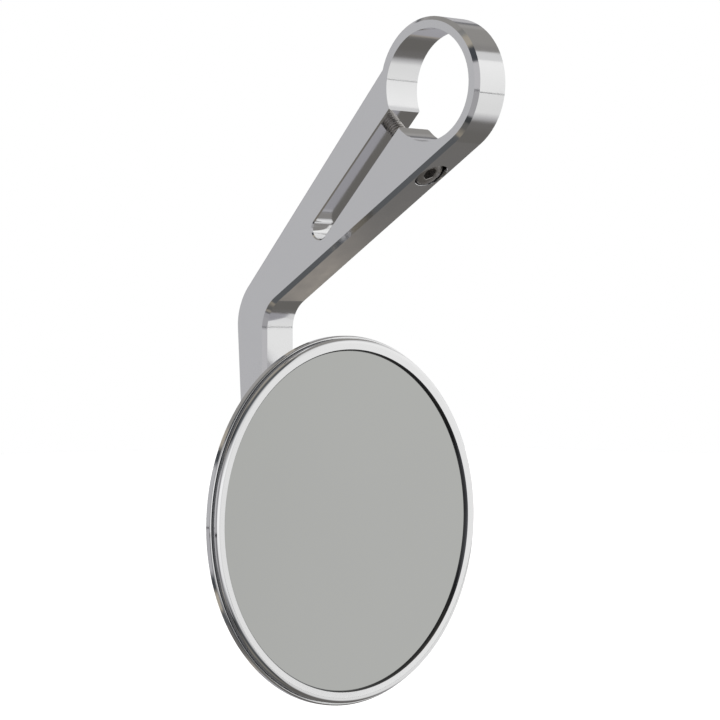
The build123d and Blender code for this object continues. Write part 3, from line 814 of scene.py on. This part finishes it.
def light_tent(scene, stage):
    """World: a five-sided light tent with a small warm bounce, seen in the polished metal, and a plain
    backdrop for the camera. A direction meets the nearest of the walls."""
    world = bpy.data.worlds.new("light_tent")
    scene.world = world
    world.use_nodes = True
    tree = world.node_tree
    tree.nodes.clear()
    toward = add_node(tree, "ShaderNodeTexCoord").outputs["Generated"]
    z = add_node(tree, "ShaderNodeSeparateXYZ", values={0: toward}).outputs[2]
    tent, nearest = tent_wall(tree, WALLS[0], toward, z)
    for wall in WALLS[1:]:
        colour, near = tent_wall(tree, wall, toward, z)
        tent, nearest = join_wall(tree, tent, nearest, colour, near, wall.shade)
    heading, height, reach, tone = BOUNCE
    level = cos(radians(height))
    centre = (level * cos(radians(heading)), level * sin(radians(heading)), sin(radians(height)))
    apart = add_node(tree, "ShaderNodeVectorMath", {"operation": "DISTANCE"}, {0: toward, 1: centre})
    card = add_node(tree, "ShaderNodeMapRange", {"interpolation_type": "SMOOTHSTEP"}, {
        "Value": apart.outputs["Value"], "From Min": radians(reach), "From Max": 0.0})
    tent = add_node(tree, "ShaderNodeMix", {"data_type": "RGBA"}, {
        SHARE: card.outputs[0], COLOUR_A: tent, COLOUR_B: linear(tone)}).outputs[MIXED_COLOUR]
    lit = add_node(tree, "ShaderNodeBackground", values={"Color": tent})
    plain = add_node(tree, "ShaderNodeBackground", values={"Color": stage.backdrop})
    seen = add_node(tree, "ShaderNodeLightPath").outputs["Is Camera Ray"]
    mixed = add_node(tree, "ShaderNodeMixShader", values={0: seen, 1: lit.outputs[0], 2: plain.outputs[0]})
    add_node(tree, "ShaderNodeOutputWorld", values={"Surface": mixed.outputs[0]})


def matt_white_floor(scene, stage):
    """Level square under the object, painted: white and dull, and not seen in the polished metal."""
    half = stage.floor_width / 2
    corners = np.array([(-1, -1, 0), (1, -1, 0), (1, 1, 0), (-1, 1, 0)]) * half
    corners[:, 2] = stage.floor_height
    mesh = bpy.data.meshes.new("floor")
    mesh.from_pydata(corners.tolist(), [], [(0, 1, 2, 3)])
    paint = bpy.data.materials.new("matt_white_paint")
    paint.use_nodes = True
    shader = paint.node_tree.nodes["Principled BSDF"].inputs
    shader["Base Color"].default_value = stage.floor_colour
    shader["Roughness"].default_value = 0.9
    mesh.materials.append(paint)
    floor = bpy.data.objects.new("floor", mesh)
    floor.visible_glossy = False
    scene.collection.objects.link(floor)


def key_light(scene, stage):
    """Wide soft light from straight above, not seen in the polished metal."""
    lamp = bpy.data.lights.new("key_light", "SUN")
    lamp.energy = stage.key_power
    lamp.angle = stage.key_spread
    key = bpy.data.objects.new("key_light", lamp)
    key.visible_glossy = False
    scene.collection.objects.link(key)


def level_camera(scene, stage):
    """Level camera, a little below the height of the head's upper rim."""
    lens = bpy.data.cameras.new("camera")
    lens.sensor_width = 36.0
    lens.lens = stage.camera_lens
    lens.clip_start, lens.clip_end = 0.01, 100.0
    camera = bpy.data.objects.new("camera", lens)
    camera.location = stage.camera_place
    camera.rotation_euler = (radians(90), 0, stage.camera_heading)
    scene.collection.objects.link(camera)
    scene.camera = camera


class MIRROR_OT_set_stage(bpy.types.Operator):
    """Sets the floor, the light tent, the soft light from above and the camera"""
    bl_idname = "mirror.set_stage"
    bl_label = "Set stage"

    def execute(self, context):
        scene = context.scene
        scene.view_settings.view_transform = "Standard"
        for build in (light_tent, matt_white_floor, key_light, level_camera):
            build(scene, scene.mirror_stage)
        return {"FINISHED"}


class MIRROR_PT_panel(bpy.types.Panel):
    """Lists the mirror's steps and values"""
    bl_label = "Clamp-on mirror"
    bl_idname = "MIRROR_PT_panel"
    bl_space_type = "VIEW_3D"
    bl_region_type = "UI"
    bl_category = "Mirror"

    def draw(self, context):
        for step in STEPS:
            self.layout.operator(step.bl_idname)
        for group in GROUPS:
            values = getattr(context.scene, group)
            box = self.layout.box()
            for name in values.__annotations__:
                box.prop(values, name)


STEPS = (
    MIRROR_OT_polish_arm,
    MIRROR_OT_fit_clamp_screw,
    MIRROR_OT_polish_head,
    MIRROR_OT_turn_rim,
    MIRROR_OT_silver_glass,
    MIRROR_OT_finish_ball_joint,
    MIRROR_OT_set_stage,
)
GROUPS = {
    "mirror_finishes": MirrorFinishes,
    "mirror_clamp_screw": MirrorClampScrew,
    "mirror_rim": MirrorRim,
    "mirror_stage": MirrorStage,
}


def register():
    for name, group in GROUPS.items():
        bpy.utils.register_class(group)
        setattr(bpy.types.Scene, name, bpy.props.PointerProperty(type=group))
    for step in STEPS:
        bpy.utils.register_class(step)
    bpy.utils.register_class(MIRROR_PT_panel)


def unregister():
    bpy.utils.unregister_class(MIRROR_PT_panel)
    for step in reversed(STEPS):
        bpy.utils.unregister_class(step)
    for name, group in GROUPS.items():
        delattr(bpy.types.Scene, name)
        bpy.utils.unregister_class(group)


def main():
    register()
    for step in STEPS:
        family, name = step.bl_idname.split(".")
        getattr(getattr(bpy.ops, family), name)()


if __name__ == "__main__":
    main()
